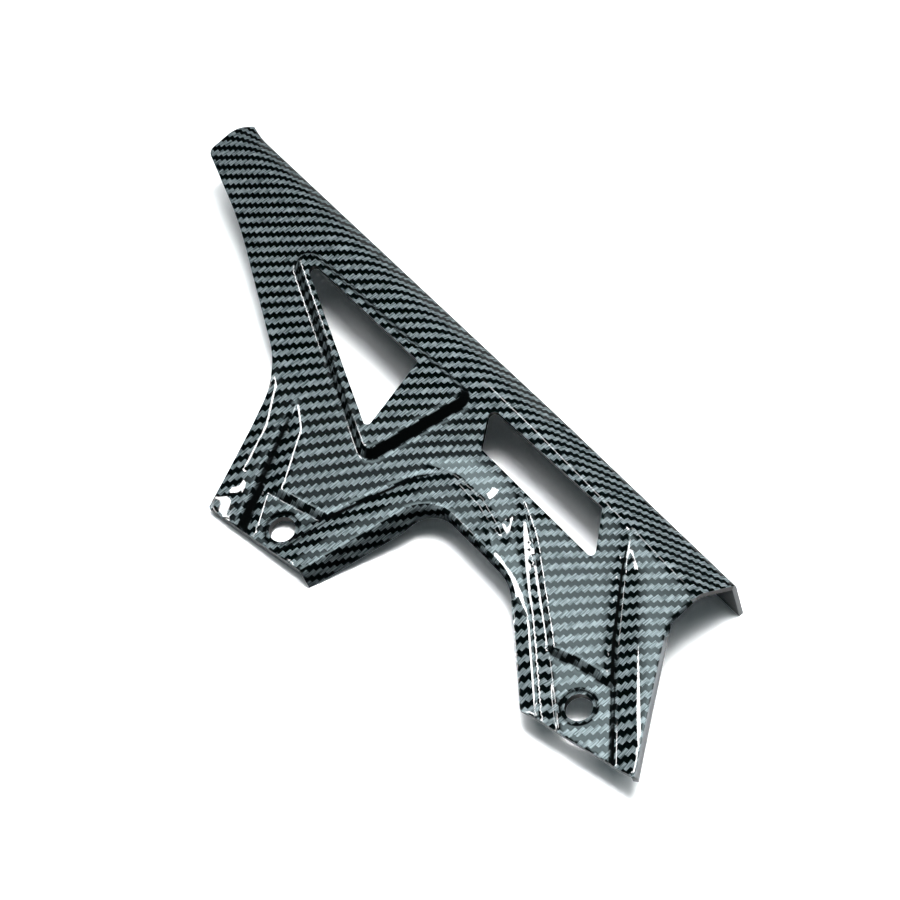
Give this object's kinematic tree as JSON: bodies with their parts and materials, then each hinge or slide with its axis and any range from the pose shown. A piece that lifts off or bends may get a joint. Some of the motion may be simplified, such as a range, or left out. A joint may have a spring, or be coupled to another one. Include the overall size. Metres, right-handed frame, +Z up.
{
  "type": "motorcycle chain guard",
  "caption": "One-piece moulded chain guard: a flat side panel with two bolted feet, a raised triangular frame with a window, a slanted window and a sloping top with a hanging lip.",
  "frame": {"origin": "middle of the guard's bounding box, on the ground that it rests on", "axes": "+X along the top strip from the narrow tip towards the wide end, +Y towards the lip, +Z up with the guard lying outer face up on its lip and front foot"},
  "size_m": [0.3925, 0.1519, 0.0406],
  "materials": {
    "guard_plastic": "carbon twill print under a gloss clear coat"
  },
  "bodies": {
    "root": {"chain_guard": "guard_plastic"}
  },
  "joints": []
}
